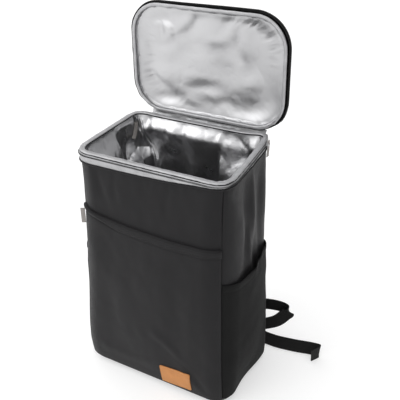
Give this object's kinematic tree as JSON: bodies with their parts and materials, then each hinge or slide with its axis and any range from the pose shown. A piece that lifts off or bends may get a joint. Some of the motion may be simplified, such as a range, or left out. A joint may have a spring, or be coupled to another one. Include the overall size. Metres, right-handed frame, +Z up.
{
  "type": "cooler backpack",
  "caption": "Boxy soft cooler backpack with a foil liner, an open zipped lid on a fabric hinge, zipped front pocket, side pockets and padded shoulder straps.",
  "frame": {"origin": "on the floor, at the middle of the base", "axes": "+Z up, -Y out of the front, +Y to the wearer's side, +X to the right seen from the front"},
  "size_m": [0.498, 0.2755, 0.6663],
  "materials": {
    "black_fabric": "satin woven polyester over padding",
    "stretch_fabric": "matt soft knit",
    "foil_liner": "crumpled aluminised film",
    "silver_tape": "silver woven tape with stitching",
    "zip_coil": "black nylon coil",
    "tan_leather": "smooth tan leather, stitched edge",
    "zip_metal": "plated die-cast slider",
    "grey_ribbon": "grey woven ribbon",
    "black_plastic": "moulded nylon",
    "black_webbing": "herringbone polyester webbing"
  },
  "bodies": {
    "root": {"base_panel": "black_fabric", "front_panel": "black_fabric", "side_panel_right": "black_fabric", "back_panel": "black_fabric", "side_panel_left": "black_fabric", "liner": "foil_liner", "mouth_binding": "silver_tape", "mouth_zip_tape": "silver_tape", "mouth_zip_teeth": "zip_coil", "mouth_piping": "black_fabric", "front_pocket": "black_fabric", "front_pocket_zip": "zip_coil", "front_pocket_flap": "black_fabric", "leather_patch": "tan_leather", "side_pocket_right": "stretch_fabric", "side_pocket_left": "stretch_fabric", "lid_shell": "black_fabric", "lid_liner": "foil_liner", "lid_zip_tape": "black_fabric", "lid_binding": "silver_tape", "lid_piping": "black_fabric", "lid_hinge": "black_fabric", "main_zip_slider_right": "zip_metal", "main_zip_slider_left": "zip_metal", "main_zip_pull_right": "grey_ribbon", "main_zip_pull_left": "grey_ribbon", "pocket_zip_pull": "grey_ribbon", "shoulder_strap_right": "black_fabric", "ladder_lock_right": "black_plastic", "strap_webbing_right": "black_webbing", "strap_anchor_right": "black_fabric", "shoulder_strap_left": "black_fabric", "ladder_lock_left": "black_plastic", "strap_webbing_left": "black_webbing", "strap_anchor_left": "black_fabric", "haul_loop": "black_webbing"}
  },
  "joints": []
}
